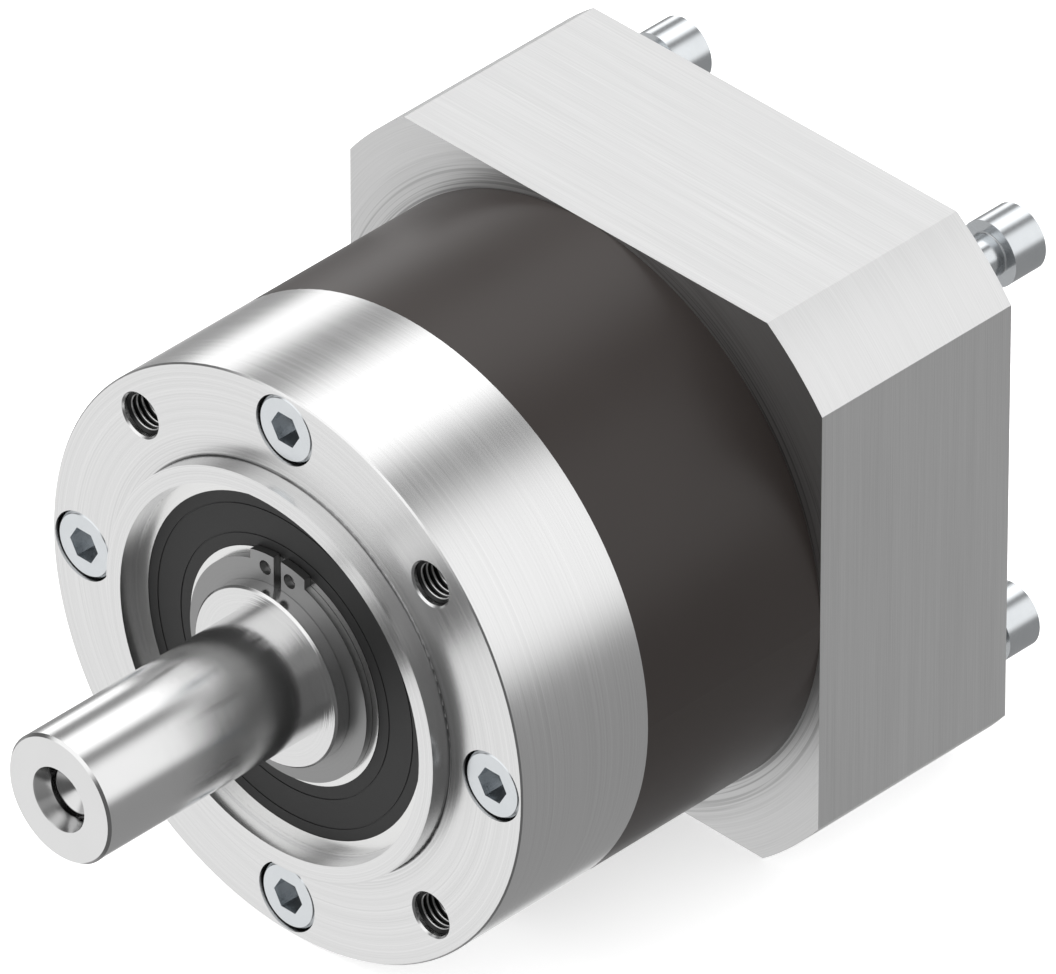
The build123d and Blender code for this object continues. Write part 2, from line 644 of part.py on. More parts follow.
# Thrust washers on both sides of each planet
with BuildPart() as thrust_washers:
    for front in (pocket_front + SIDE_GAP, pocket_back - SIDE_GAP - WASHER_THICKNESS):
        with BuildSketch(across(front)):
            with PolarLocations(planet_circle, PLANETS, start_angle=FIRST_PLANET_ANGLE):
                Circle(WASHER_RADIUS)
                Circle(PIN_RADIUS + FIT_GAP, mode=Mode.SUBTRACT)
        extrude(amount=-WASHER_THICKNESS)
save(thrust_washers, "thrust_washers")

# Sun gear: its teeth stand half a pitch off the planets' first tooth, and its stub sits in the hub
sun_front = gear_middle - FACE_WIDTH / 2
stub_back = nose_front + SUN_STUB_SEAT
with BuildPart() as sun_gear:
    with BuildSketch(across(sun_front)):
        Circle(sun_pitch - tooth_root)
        with PolarLocations(0, SUN_TEETH, start_angle=FIRST_PLANET_ANGLE + 180 / SUN_TEETH):
            add(outer_tooth(sun_pitch))
    extrude(amount=-FACE_WIDTH)
    with BuildSketch(across(sun_front)):
        Circle(SUN_STUB_RADIUS)
    extrude(amount=sun_front - stub_back)
save(sun_gear, "sun_gear")

# Clamping hub: the sun gear's stub is fixed in front, the motor shaft goes in from behind
with BuildPart() as clamp_hub:
    with BuildSketch(Plane.XY):
        band(0, HUB_NOSE_RADIUS, nose_front, hub_front)
        band(0, INPUT_BORE / 2 - FIT_GAP, hub_front, input_back)
        band(0, hub_collar_radius, input_back, sleeve_front)
        band(0, SLEEVE_RADIUS, sleeve_front, sleeve_back)
        band(0, SUN_STUB_RADIUS + FIT_GAP, nose_front, stub_back, Mode.SUBTRACT)
        band(0, MOTOR_SHAFT_RADIUS, sleeve_back - MOTOR_BORE_DEPTH, sleeve_back, Mode.SUBTRACT)
    revolve(axis=Axis.Y)
    with BuildSketch(across(sleeve_back)):
        with Locations((0, SLEEVE_RADIUS)):
            Rectangle(SLIT_WIDTH, 2 * SLEEVE_RADIUS)
    extrude(amount=SLIT_LENGTH, mode=Mode.SUBTRACT)
save(clamp_hub, "clamp_hub")

# Clamp ring: split at the top, with a screw across the split
with BuildPart() as clamp_ring:
    with BuildSketch(across(clamp_back)):
        Circle(clamp_radius)
        Circle(SLEEVE_RADIUS + FIT_GAP, mode=Mode.SUBTRACT)
        with Locations((0, clamp_radius)):
            Rectangle(CLAMP_SLOT, 2 * clamp_radius, mode=Mode.SUBTRACT)
    extrude(amount=CLAMP_WIDTH)
    with BuildSketch(Plane.YZ.offset(-CLAMP_HEAD_SEAT)):
        with Locations((clamp_middle, clamp_screw_offset)):
            Circle(CLAMP_SCREW_RADIUS + FIT_GAP)
    extrude(amount=CLAMP_SCREW_LENGTH + SCREW_POINT_ROOM, mode=Mode.SUBTRACT)
    with BuildSketch(Plane.YZ.offset(-CLAMP_HEAD_SEAT)):
        with Locations((clamp_middle, clamp_screw_offset)):
            Circle(CLAMP_SCREW_RADIUS + CLAMP_HOLE_GAP)
    extrude(amount=CLAMP_HEAD_SEAT, mode=Mode.SUBTRACT)
    with BuildSketch(Plane.YZ.offset(-CLAMP_HEAD_SEAT)):
        with Locations((clamp_middle, clamp_screw_offset)):
            Circle(CLAMP_HEAD_RADIUS + SCREW_HOLE_GAP)
    extrude(amount=-clamp_radius, mode=Mode.SUBTRACT)
save(clamp_ring, "clamp_ring")

clamp_seat_place = (-CLAMP_HEAD_SEAT, clamp_middle, clamp_screw_offset)
facing_left = Plane(origin=clamp_seat_place, x_dir=(0, 1, 0), z_dir=(-1, 0, 0))
small_screw = cap_screw(
    CLAMP_SCREW_RADIUS,
    CLAMP_SCREW_LENGTH,
    CLAMP_HEAD_RADIUS,
    CLAMP_HEAD_HEIGHT,
    CLAMP_SOCKET_WIDTH,
    CLAMP_SOCKET_DEPTH,
)
with BuildPart() as clamp_screw:
    with Locations(facing_left.location):
        add(small_screw)
save(clamp_screw, "clamp_screw")

# Radial shaft seal: a cup with a lip that runs on the hub
with BuildPart() as input_shaft_seal:
    with BuildSketch(Plane.XY):
        lip_radius = INPUT_BORE / 2 + RUN_GAP
        band(lip_radius, shaft_seal_radius, seal_front, input_front)
        lip_back = lip_radius + SHAFT_SEAL_WALL
        cup = shaft_seal_radius - SHAFT_SEAL_WALL
        band(lip_back, cup, seal_front, input_front - SHAFT_SEAL_WALL, Mode.SUBTRACT)
    revolve(axis=Axis.Y)
save(input_shaft_seal, "input_shaft_seal")

# Retaining ring behind the input bearing, sprung into its groove in the block
with BuildPart() as input_circlip:
    with BuildSketch(across(input_back + SIDE_GAP)):
        Circle(input_clip_groove - FIT_GAP)
        Circle(input_clip_inner, mode=Mode.SUBTRACT)
        with Locations((0, input_clip_groove)):
            Rectangle(INPUT_CLIP_GAP, input_clip_groove, mode=Mode.SUBTRACT)
    extrude(amount=-INPUT_CLIP_THICKNESS)
save(input_circlip, "input_circlip")

# Plug of the access hole, with a hex socket in its outer face
plug_face = -block_width / 2 + PLUG_SINK
with BuildPart() as access_plug:
    with BuildSketch(Plane.YZ.offset(plug_face)):
        with Locations((clamp_middle, clamp_screw_offset)):
            Circle(ACCESS_RADIUS - FIT_GAP)
    extrude(amount=PLUG_LENGTH)
    chamfer(access_plug.edges().group_by(Axis.X)[0], PLUG_EDGE)
    with BuildSketch(Plane.YZ.offset(plug_face)):
        with Locations((clamp_middle, clamp_screw_offset)):
            RegularPolygon(SOCKET_WIDTH / 2, 6, major_radius=False)
    extrude(amount=SOCKET_DEPTH, mode=Mode.SUBTRACT)
save(access_plug, "access_plug")
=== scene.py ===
# %% [markdown]
# # A planetary gearbox, dressed for its picture
#
# The gearbox stands ready as a imported model: thirty-five pieces of metal and rubber, each in its
# right place and at its right size. This lesson gives every piece the finish of the real one.
# A gearbox looks good because of how it was machined, so most cells speak of turning, grinding,
# brushing and plating. The first cell loads the model.

# %% Load the gearbox
import json
from math import cos, radians, sin, tau

import bmesh
import bpy
from mathutils import Matrix, Vector


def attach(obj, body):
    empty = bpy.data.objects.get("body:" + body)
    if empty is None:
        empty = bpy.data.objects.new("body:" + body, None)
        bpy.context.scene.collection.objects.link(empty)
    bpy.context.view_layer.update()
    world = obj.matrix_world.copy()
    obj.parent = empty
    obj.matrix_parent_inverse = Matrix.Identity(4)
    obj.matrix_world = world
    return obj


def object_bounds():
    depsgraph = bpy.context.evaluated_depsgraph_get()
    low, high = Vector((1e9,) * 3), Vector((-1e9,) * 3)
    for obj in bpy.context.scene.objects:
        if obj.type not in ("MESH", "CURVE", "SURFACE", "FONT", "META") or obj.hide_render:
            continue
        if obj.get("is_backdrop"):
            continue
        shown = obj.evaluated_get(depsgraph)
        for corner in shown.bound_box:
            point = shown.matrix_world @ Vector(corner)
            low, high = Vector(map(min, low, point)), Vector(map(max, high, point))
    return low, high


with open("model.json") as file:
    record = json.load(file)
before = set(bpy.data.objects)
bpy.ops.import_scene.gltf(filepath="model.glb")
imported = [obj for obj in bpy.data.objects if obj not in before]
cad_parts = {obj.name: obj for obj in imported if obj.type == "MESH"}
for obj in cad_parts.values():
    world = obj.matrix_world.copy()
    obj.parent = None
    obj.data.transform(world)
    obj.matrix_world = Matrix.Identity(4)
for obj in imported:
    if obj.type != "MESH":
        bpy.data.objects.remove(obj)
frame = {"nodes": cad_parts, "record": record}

nodes = frame["nodes"]
cad_low, cad_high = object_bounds()
print("nodes", len(nodes), "size in mm", [round(1000 * x, 1) for x in cad_high - cad_low])

# %% [markdown]
# ## Sums with sockets
#
# A shader is a network of small sums, and a network is hard to read. A small class lets Python's
# own signs build it: `radius * 3 + 1` adds two Math nodes and joins them. Each sign has a reflected
# form too, so `1 - mask` works as well as `mask - 1`. Only values go through it, because a Math
# node turns a colour grey. Colours and vectors have their own nodes.

# %% A socket that takes part in sums
class Signal:
    """One value in a network, which Python's signs can work with."""

    def __init__(self, network, socket):
        self.network = network
        self.socket = socket

    def sum(self, operation, *values):
        sockets = dict(enumerate(values))
        return self.network.node("Math", {"operation": operation}, sockets)

    def __add__(self, other):
        return self.sum("ADD", self, other)

    __radd__ = __add__

    def __sub__(self, other):
        return self.sum("SUBTRACT", self, other)

    def __rsub__(self, other):
        return self.sum("SUBTRACT", other, self)

    def __mul__(self, other):
        return self.sum("MULTIPLY", self, other)

    __rmul__ = __mul__

    def __truediv__(self, other):
        return self.sum("DIVIDE", self, other)

    def __rtruediv__(self, other):
        return self.sum("DIVIDE", other, self)

    def __pow__(self, other):
        return self.sum("POWER", self, other)

    def __gt__(self, other):
        return self.sum("GREATER_THAN", self, other)

    def __lt__(self, other):
        return self.sum("LESS_THAN", self, other)


print("signs that work on a socket: + - * / ** < >")

# %% [markdown]
# ## A network and a finish
#
# All nodes come from one method. It takes the node's type, then its settings, then what goes into
# its sockets: a number, a colour or the signal of another node. Last comes the output that is
# wanted. A finish is a network that ends in the shader that Blender calls Principled. That shader's
# fixed sockets, such as the coat's roughness, are set as plain numbers, and what varies over the
# surface is joined to it later.

# %% One method for every node
class Network:
    """The nodes of a material or of the world around the object."""

    def __init__(self, tree):
        self.tree = tree

    def node(self, kind, settings=None, sockets=None, output=0):
        made = self.tree.nodes.new("ShaderNode" + kind)
        for name, value in (settings or {}).items():
            setattr(made, name, value)
        for name, value in (sockets or {}).items():
            self.plug(made.inputs[name], value)
        return Signal(self, made.outputs[output])

    def axes(self, vector):
        """The x, y and z of a vector, as three signals."""
        outputs = self.node("SeparateXYZ", {}, {0: vector}).socket.node.outputs
        return [Signal(self, output) for output in outputs]

    def plug(self, socket, value):
        if isinstance(value, Signal):
            self.tree.links.new(value.socket, socket)
        else:
            socket.default_value = value


class Finish(Network):
    """A material under construction."""

    def __init__(self, name, **fixed):
        self.material = bpy.data.materials.new(name)
        self.material.use_nodes = True
        super().__init__(self.material.node_tree)
        self.shader = self.tree.nodes["Principled BSDF"]
        self.set(**fixed)

    def set(self, **values):
        for name, value in values.items():
            socket = name.replace("_", " ").title().replace("Ior", "IOR")
            self.plug(self.shader.inputs[socket], value)
        return self


print("network and finish helpers ready")

# %% [markdown]
# ## Where on the object a point lies
#
# The gearbox is a turned object, so its marks follow its axis, which is the Y axis of the model.
# Object coordinates give the point in metres, and a cutting tool's path depends on two things only:
# the distance from the axis and the place along it. Millimetres make all later numbers readable.

# %% Places on the surface, in millimetres
def place(finish):
    """x, y and z of the point in millimetres, and its distance from the gearbox's axis."""
    point = finish.node("TexCoord", output="Object")
    x, y, z = (axis * 1000 for axis in finish.axes(point))
    return x, y, z, (x ** 2 + z ** 2) ** 0.5


def grain(finish, x, y, z, detail=2.0, roughness=0.5):
    """Noise between 0 and 1 at a point that is stretched by the caller."""
    point = finish.node("CombineXYZ", {}, {0: x, 1: y, 2: z})
    sockets = {"Vector": point, "Scale": 1.0, "Detail": detail, "Roughness": roughness}
    return finish.node("TexNoise", {}, sockets)


def step(finish, value, start, end):
    """0 before start, 1 after end, and a soft change between them."""
    sockets = {0: value, 1: start, 2: end, 3: 0.0, 4: 1.0}
    return finish.node("MapRange", {"interpolation_type": "SMOOTHSTEP"}, sockets)


def relief(finish, height, microns):
    """A bump whose full height is given in thousandths of a millimetre."""
    return finish.node("Bump", {}, {"Height": height, "Distance": microns * 1e-6})


print("place and grain helpers ready")

# %% [markdown]
# ## Colours
#
# Colours are mixed with a node of their own. Most finishes vary between a slightly darker and a
# slightly lighter form of one colour, so a small helper works these out.

# %% Mixed and tinted colours
def blend_colours(finish, share, first, second):
    """The first colour at 0 and the second at 1."""
    return finish.node("Mix", {"data_type": "RGBA"}, {0: share, 6: first, 7: second}, 2)


def tinted(colour, factor):
    """A colour made darker or lighter, with the fourth number that Blender wants."""
    return (*(min(1.0, factor * part) for part in colour), 1)


def grey(level):
    return (level, level, level, 1)


print("colour helpers ready, such as", tinted((0.5, 0.5, 0.6), 0.9))

# %% [markdown]
# ## The camera
#
# The picture is taken from far away with a very long lens, so parallel edges stay nearly parallel,
# as in a catalogue. A camera helper can't frame this, because the picture is not as wide as
# Blender's own render size. The camera looks along one direction, and it is shifted sideways and
# upwards until the flange's centre falls on its pixel.

# %% Place the camera
PICTURE = (1056, 974)
LENS_PIXELS = 24238.11
SENSOR_WIDTH = 36
CAMERA_AZIMUTH = radians(44.57233)
CAMERA_ELEVATION = radians(35.78156)
CAMERA_ROLL = radians(0.0682)
CAMERA_DISTANCE = 4.193264
FLANGE_CENTRE_PIXEL = (285.492, 665.322)

back = Vector((
    sin(CAMERA_AZIMUTH) * cos(CAMERA_ELEVATION),
    -cos(CAMERA_AZIMUTH) * cos(CAMERA_ELEVATION),
    sin(CAMERA_ELEVATION),
))
right = (-back).cross(Vector((0, 0, 1))).normalized()
up = right.cross(-back)
turned_right = right * cos(CAMERA_ROLL) + up * sin(CAMERA_ROLL)
turned_up = up * cos(CAMERA_ROLL) - right * sin(CAMERA_ROLL)
metres_per_pixel = CAMERA_DISTANCE / LENS_PIXELS
across_picture = (FLANGE_CENTRE_PIXEL[0] - PICTURE[0] / 2) * metres_per_pixel
up_picture = (PICTURE[1] / 2 - FLANGE_CENTRE_PIXEL[1]) * metres_per_pixel

camera = bpy.data.objects.new("camera", bpy.data.cameras.new("camera"))
bpy.context.scene.collection.objects.link(camera)
camera.data.sensor_width = SENSOR_WIDTH
camera.data.lens = LENS_PIXELS / PICTURE[0] * SENSOR_WIDTH
camera.data.clip_end = 50
camera.data.dof.use_dof = False
camera.matrix_world = Matrix((turned_right, turned_up, back)).transposed().to_4x4()
camera.location = back * CAMERA_DISTANCE - turned_right * across_picture - turned_up * up_picture
bpy.context.scene.camera = camera
bpy.context.scene.view_settings.view_transform = "Standard"
print("lens", round(camera.data.lens, 1), "camera at", [round(x, 4) for x in camera.location])

# %% [markdown]
# ## A studio made of strip lights
#
# Polished metal shows its surroundings more than itself, so the studio matters as much as the
# finish. A photographer lights such a part with long strip boxes that lie along its axis: each one
# becomes a bright streak along the shaft, and the dark gaps between them draw its roundness. The
# room in front of the part stays dark, apart from the pale floor, a wall at the right and one box
# to the left above the camera. A grey card takes the black out of the faces that look straight at
# the camera. Bevels and end faces mirror the room in front, and its darkness draws a fine line
# round each edge. Real lamps would need a lot of sampling to look smooth. Here the world itself
# carries the boxes, as soft patches of directions. The camera sees plain white behind the object,
# and the matt pieces get an even, slightly top-heavy light.

# %% Light boxes in the world
GREY_BEHIND, GREY_IN_FRONT = 0.33, 0.13
# Angle round the axis, edges of the core and of the fading rim in degrees from that angle,
# strength, and where the strip begins along the axis
STRIPS = {
    "right strip": (33, 19, 42, 0.83, 0.05),
    "overhead strip": (110, 4, 30, 1.35, -0.10),
    "left strip": (170, 0, 17.5, 1.25, 0.15),
    "floor behind": (-131, 3, 19, 0.98, 0.05),
}
STRIP_FADE = 0.2
# Direction of the middle, edges of the core and of the fading rim in degrees, strength
ROUND_BOXES = {
    "front box": ((-0.22, -0.80, 0.56), 24, 44, 1.15),
    "front floor": ((-0.569, -0.578, -0.585), 30, 52, 0.85),
    "grey card": ((0.649, -0.418, 0.634), 14, 30, 0.16),
}

world = bpy.data.worlds.new("studio")
bpy.context.scene.world = world
world.use_nodes = True
studio = Network(world.node_tree)
along_x, along_y, along_z = studio.axes(studio.node("TexCoord"))
round_axis = (along_x ** 2 + along_z ** 2 + 1e-6) ** 0.5


def patch(nearness, core, edge, strength):
    """A soft light box. Nearness is the cosine of the angle from its middle."""
    return step(studio, nearness, cos(radians(edge)), cos(radians(core))) * strength


right_wall = step(studio, along_x, 0.3, 0.7) * 0.5
behind = step(studio, along_y + right_wall, -0.15, 0.25)
seen_in_metal = behind * (GREY_BEHIND - GREY_IN_FRONT) + GREY_IN_FRONT
for angle, core, edge, strength, start in STRIPS.values():
    towards = (along_x * cos(radians(angle)) + along_z * sin(radians(angle))) / round_axis
    begun = step(studio, along_y, start - STRIP_FADE, start + STRIP_FADE)
    seen_in_metal = seen_in_metal + patch(towards, core, edge, strength) * begun
for (aim_x, aim_y, aim_z), core, edge, strength in ROUND_BOXES.values():
    towards = along_x * aim_x + along_y * aim_y + along_z * aim_z
    seen_in_metal = seen_in_metal + patch(towards, core, edge, strength)
print("boxes", len(STRIPS) + len(ROUND_BOXES))

# %% [markdown]
# The world now gives each kind of ray its own light: white to the camera, the boxes to mirrors, and
# a plain even light to everything matt.

# %% One light for each kind of ray
matt_light = step(studio, along_z, -1.0, 1.0) * 0.5 + 0.55
rays = studio.node("LightPath").socket.node.outputs
camera_ray, glossy_ray, through_ray = (
    Signal(studio, rays[f"Is {kind} Ray"]) for kind in ("Camera", "Glossy", "Transmission")
)
mirror_ray = glossy_ray.sum("MAXIMUM", glossy_ray, through_ray)
on_the_object = mirror_ray * seen_in_metal + (1 - mirror_ray) * matt_light
background = world.node_tree.nodes["Background"]
studio.plug(background.inputs["Color"], (1, 1, 1, 1))
studio.plug(background.inputs["Strength"], camera_ray + (1 - camera_ray) * on_the_object)
print("nodes in the world", len(world.node_tree.nodes))

# %% [markdown]
# ## Floor and key light
#
# The gearbox lies on a pale floor, which fades into the white background. The camera sees the floor
# a little brighter than it is, so that only the object's own shadow stays on it. One broad lamp from
# above gives that shadow. It is kept out of the metal's reflections, where the strips do the work.

# %% Floor and lamp
FLOOR_HALF, FLOOR_GAP, FLOOR_LIFT = 3.0, 0.0001, 0.62
LAMP_PLACE, LAMP_AIM = Vector((-0.35, -0.25, 0.95)), Vector((0, 0.05, 0))

level = cad_low.z - FLOOR_GAP
signs = ((-1, -1), (1, -1), (1, 1), (-1, 1))
floor_mesh = bpy.data.meshes.new("floor")
floor_mesh.from_pydata([(FLOOR_HALF * x, FLOOR_HALF * y, level) for x, y in signs], [], [range(4)])
floor = bpy.data.objects.new("floor", floor_mesh)
bpy.context.scene.collection.objects.link(floor)
floor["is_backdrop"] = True
floor.visible_glossy = False
floor_finish = Finish("pale_floor", base_color=grey(0.85), roughness=0.9, specular_ior_level=0.0)
lift = floor_finish.node("LightPath", output="Is Camera Ray") * FLOOR_LIFT
lift_colour = floor_finish.node("CombineXYZ", {}, {0: lift, 1: lift, 2: lift})
floor_finish.set(emission_color=lift_colour, emission_strength=1.0)
floor_mesh.materials.append(floor_finish.material)

lamp = bpy.data.objects.new("key_lamp", bpy.data.lights.new("key_lamp", "AREA"))
bpy.context.scene.collection.objects.link(lamp)
lamp.data.size = 0.9
lamp.data.energy = 6.0
lamp.location = LAMP_PLACE
lamp.rotation_euler = (LAMP_AIM - LAMP_PLACE).to_track_quat("-Z", "Y").to_euler()
lamp.visible_glossy = False
print("floor at", round(1000 * level, 2), "mm")

# %% [markdown]
# ## Which way the cutting marks run
#
# On a face that was turned in a lathe the marks are rings, so they change with the distance from
# the axis. On the outside of a cylinder they run round it, so they change along the axis. The same
# holds for the square block: its four sides were brushed straight across, and only its two end
# faces were turned. So one question is enough: does the surface face along the axis or away from it?

# %% The coordinate that the marks change with
def end_facing(finish):
    """1 on a face square to the axis, 0 on any face along it."""
    along_axis = finish.axes(finish.node("TexCoord", output="Normal"))[1]
    return step(finish, along_axis * along_axis, 0.3, 0.4)


def tool_marks(finish, per_mm, slow=0.002):
    """Fine lines between 0 and 1, long in the cutting direction and narrow across it."""
    x, y, z, radius = place(finish)
    line = y + (radius - y) * end_facing(finish)
    return grain(finish, line * per_mm, x * slow, z * slow, detail=1.0, roughness=0.6)


print("tool mark helpers ready")

# %% [markdown]
# ## Turned and brushed aluminium
#
# The output flange and the motor block are bare aluminium. A lathe leaves two kinds of marks: very
# fine ones from each turn of the work, which blur the reflections across the grain, and a few broad
# ones where the tool's load changed. Noises that are stretched along the cut make them: a fine
# one, hairlines between its marks, and a broad one. All three go to the colour and to the bump.
# Where the tool stopped at the root of the collar, the marks are deeper. The face beside the collar
# is also darkened a little as painted shade, and the dark hairline in the corner is a painted
# contact shadow. The block's front face mirrors the dark housing in its grooves, and a blurred
# reflection alone loses these rings, so some are drawn in the colour as a painted reflection.
# The block's end faces are painted a little darker than their sides, as painted shade.

# %% Marks beside the collar and the housing
COLLAR_ROOT = 40.0
HOUSING_RADIUS = 57.5

block = nodes["motor_block"]
block_corners = [block.matrix_world @ Vector(corner) for corner in block.bound_box]
block_middle = 1000 * sum(corner.y for corner in block_corners) / len(block_corners)


def collar_root(finish, y, radius, on_face):
    """The face beside the collar, and its corner, where a contact shadow is painted."""
    beside = 1 - step(finish, radius, COLLAR_ROOT + 1.5, COLLAR_ROOT + 4.5)
    beside = beside * step(finish, radius, COLLAR_ROOT - 0.4, COLLAR_ROOT)
    beside = beside * (1 - step(finish, y, 1.0, 2.0))
    across_corner = (radius - COLLAR_ROOT) ** 2 + y * y
    # the second mask is the corner that gets the painted contact shadow
    return on_face * beside, 1 - step(finish, across_corner, 0.06, 0.24)


def mirrored_housing(finish, y, radius, on_face, slow):
    """Dark rings round the housing on the block's front, a painted reflection of the housing."""
    grooves = step(finish, tool_marks(finish, 2.2, slow), 0.47, 0.64)
    around = 1 - step(finish, radius, HOUSING_RADIUS - 1.0, HOUSING_RADIUS + 9.0)
    return on_face * around * (y < block_middle) * (grooves * 0.75 + 0.15)


print("middle of the block at", round(block_middle, 1), "mm")

# %% Aluminium of the flange and the block
def aluminium(
    name, colour, side, face, face_shade_factor=1.0, face_rings=0.3, slow=0.002, per_mm=2.8, mirrored=0.0
):
    """Side and face each give a roughness and the height of the fine marks in microns."""
    (side_shine, side_microns), (face_shine, face_microns) = side, face
    finish = Finish(name, metallic=1.0)
    fine = tool_marks(finish, per_mm, slow)
    hair = tool_marks(finish, 7.0, slow * 4)
    broad = tool_marks(finish, 0.6, slow / 2)
    _, y, _, radius = place(finish)
    on_face = end_facing(finish)
    beside_collar, corner = collar_root(finish, y, radius, on_face)
    # Beside the collar the marks get more contrast, and the colour there is darkened a little as
    # painted shade.
    contrast = 1 + beside_collar * 1.6 + on_face * 0.2
    shade = (fine * 0.5 + hair * 0.3 + broad * 0.2 - 0.5) * contrast + 0.5 - beside_collar * 0.1
    skin = blend_colours(finish, shade, tinted(colour, 0.82), tinted(colour, 1.16))
    mirror = mirrored_housing(finish, y, radius, on_face, slow) * mirrored
    # Painted light in the colour: shade on the end faces, the housing's reflection and a contact
    # shadow in the corner.
    for share, level in ((on_face * (1 - face_shade_factor), 0.0), (mirror, 0.02), (corner * 0.78, 0.05)):
        skin = blend_colours(finish, share, skin, grey(level))
    rings = broad * (on_face * face_rings + 0.3)
    deeper = 1 + beside_collar * 1.5 + on_face * (face_microns / side_microns - 1)
    uneven = (broad - 0.5) * 0.05 + (fine - 0.5) * 0.06
    finish.set(
        base_color=skin,
        roughness=side_shine + on_face * (face_shine - side_shine) + uneven,
        normal=relief(finish, (fine + rings) * deeper + hair * 0.3, side_microns),
    )
    return finish.material


flange_finish = aluminium("turned_aluminium", (0.75, 0.75, 0.75), (0.24, 5.0), (0.24, 2.5))
# The block's end faces are darkened as painted shade.
block_finish = aluminium(
    "brushed_aluminium", (0.79, 0.79, 0.79), (0.44, 2.2), (0.42, 9.0),
    face_shade_factor=0.78, face_rings=2.5, slow=0.02, per_mm=4.0, mirrored=0.55,
)
print("aluminium finishes", flange_finish.name, block_finish.name)

# %% [markdown]
# ## Satin black of the ring gear housing
#
# The middle housing is steel under a thin, smooth, dark coat with a hint of brown. Its reflections
# are soft, and it is nearly free of texture. A coat with a real thickness could be layered over a
# metal, but the metal never shows, so a dark body colour under a gentle gloss is enough. Faint
# clouds in colour and gloss keep it from looking like plastic.

# %% Dark coat
dark_coat = Finish("dark_satin_coat", specular_ior_level=0.38)
x, y, z, radius = place(dark_coat)
clouds = grain(dark_coat, x * 0.05, y * 0.05, z * 0.05)
pores = grain(dark_coat, x * 3.0, y * 3.0, z * 3.0)
brown_black, lighter_brown = (0.0250, 0.0195, 0.0175, 1), (0.0300, 0.0240, 0.0215, 1)
dark_coat.set(
    base_color=blend_colours(dark_coat, clouds, brown_black, lighter_brown),
    roughness=0.36 + (clouds - 0.5) * 0.06,
    normal=relief(dark_coat, pores, 0.6),
)
print("dark coat ready")

# %% [markdown]
# ## Ground steels
#
# The shaft was ground between centres. The grinding wheel leaves marks round the shaft that are far
# finer than a lathe's and can't be seen one by one. They show in another way: each reflection is
# drawn out along the shaft, while it stays crisp round it. So the bump carries a very fine noise
# along the axis. The shoulder's end face was only turned, and there the rings are coarser, most of
# all near its rim. The centre hole is darkened as painted shade. Bearing rings, circlip, cages
# and plug use the same recipe with other colours and other gloss.

# %% Polished, ground and sprung steels
SHAFT_END = -55.0
HOLE_MOUTH = 6.3


def hole_shade(finish, y, radius):
    """Painted shade in the centre hole, darkest in the straight stretch behind the cone."""
    depth = y - SHAFT_END
    in_hole = 1 - step(finish, radius, HOLE_MOUTH - 0.15, HOLE_MOUTH)
    straight = step(finish, depth, 2.70, 2.85) * (1 - step(finish, depth, 3.90, 4.15))
    return in_hole * (step(finish, depth, 0.05, 0.3) * 0.2 + straight * 0.7)


def ground_steel(name, colour, shine, microns, per_mm=6.0, turned_beyond=None):
    finish = Finish(name, metallic=1.0)
    fine = tool_marks(finish, per_mm)
    x, y, z, radius = place(finish)
    cloud = grain(finish, x * 0.08, y * 0.08, z * 0.08)
    shade, height = fine * 0.6 + cloud * 0.4, fine
    if turned_beyond:
        turned = end_facing(finish) * step(finish, radius, turned_beyond, turned_beyond + 1.5)
        rings = tool_marks(finish, 2.4)
        near_rim = step(finish, radius, turned_beyond + 1.8, turned_beyond + 3.0)
        height = fine * (1 - turned) + rings * turned * (near_rim * 8.0 + 6.0)
        shade = shade * (1 - turned) + rings * turned
    bare = blend_colours(finish, shade, tinted(colour, 0.92), tinted(colour, 1.06))
    finish.set(
        # painted shade darkens the centre hole
        base_color=blend_colours(finish, hole_shade(finish, y, radius), bare, grey(0.01)),
        roughness=shine + (cloud - 0.5) * 0.04 + (fine - 0.5) * 0.03,
        normal=relief(finish, height, microns),
    )
    return finish.material


shaft_finish = ground_steel(
    "ground_shaft_steel", (0.745, 0.745, 0.745), 0.17, 5.0, per_mm=16.0, turned_beyond=13.0
)
bearing_finish = ground_steel("bearing_steel", (0.80, 0.80, 0.795), 0.22, 0.6)
ring_finish = ground_steel("spring_steel", (0.30, 0.30, 0.30), 0.38, 0.8, per_mm=3.0)
cage_finish = ground_steel("pressed_sheet_steel", (0.62, 0.60, 0.57), 0.35, 0.6, per_mm=2.0)
plug_finish = ground_steel("dull_plug_steel", (0.45, 0.45, 0.46), 0.42, 1.5, per_mm=3.0)
print("steel finishes ready")

# %% [markdown]
# ## Oiled gear teeth
#
# Inside, the gears run in grease. Their teeth are ground steel under a thin wet film, and a coat
# layer over the metal gives that second, sharper shine. These pieces can't be seen from outside,
# yet they get their finish too, for whoever opens the housing.

# %% Gear steel
gear_steel = Finish("oiled_gear_steel", metallic=1.0, coat_roughness=0.08, coat_ior=1.46)
x, y, z, radius = place(gear_steel)
film = grain(gear_steel, x * 0.25, y * 0.25, z * 0.25)
scratches = grain(gear_steel, x * 6.0, y * 0.4, z * 6.0)
gear_steel.set(
    base_color=blend_colours(gear_steel, scratches, (0.47, 0.47, 0.48, 1), (0.58, 0.58, 0.59, 1)),
    roughness=0.27 + (scratches - 0.5) * 0.1,
    coat_weight=step(gear_steel, film, 0.3, 0.6) * 0.6,
    normal=relief(gear_steel, scratches, 0.8),
)
print("gear steel ready")

# %% [markdown]
# ## Zinc on the screws
#
# All eight cap screws are zinc plated, which gives them a cold, pale blue tone and a softer shine
# than the bare metals round them. Plating shows tiny crystals, so a fine noise in every direction
# breaks up the gloss a little. The sockets are darkened as painted shade.

# %% Zinc plating
SCREW_CIRCLE = 50.0
SOCKET_RADIUS = 3.65

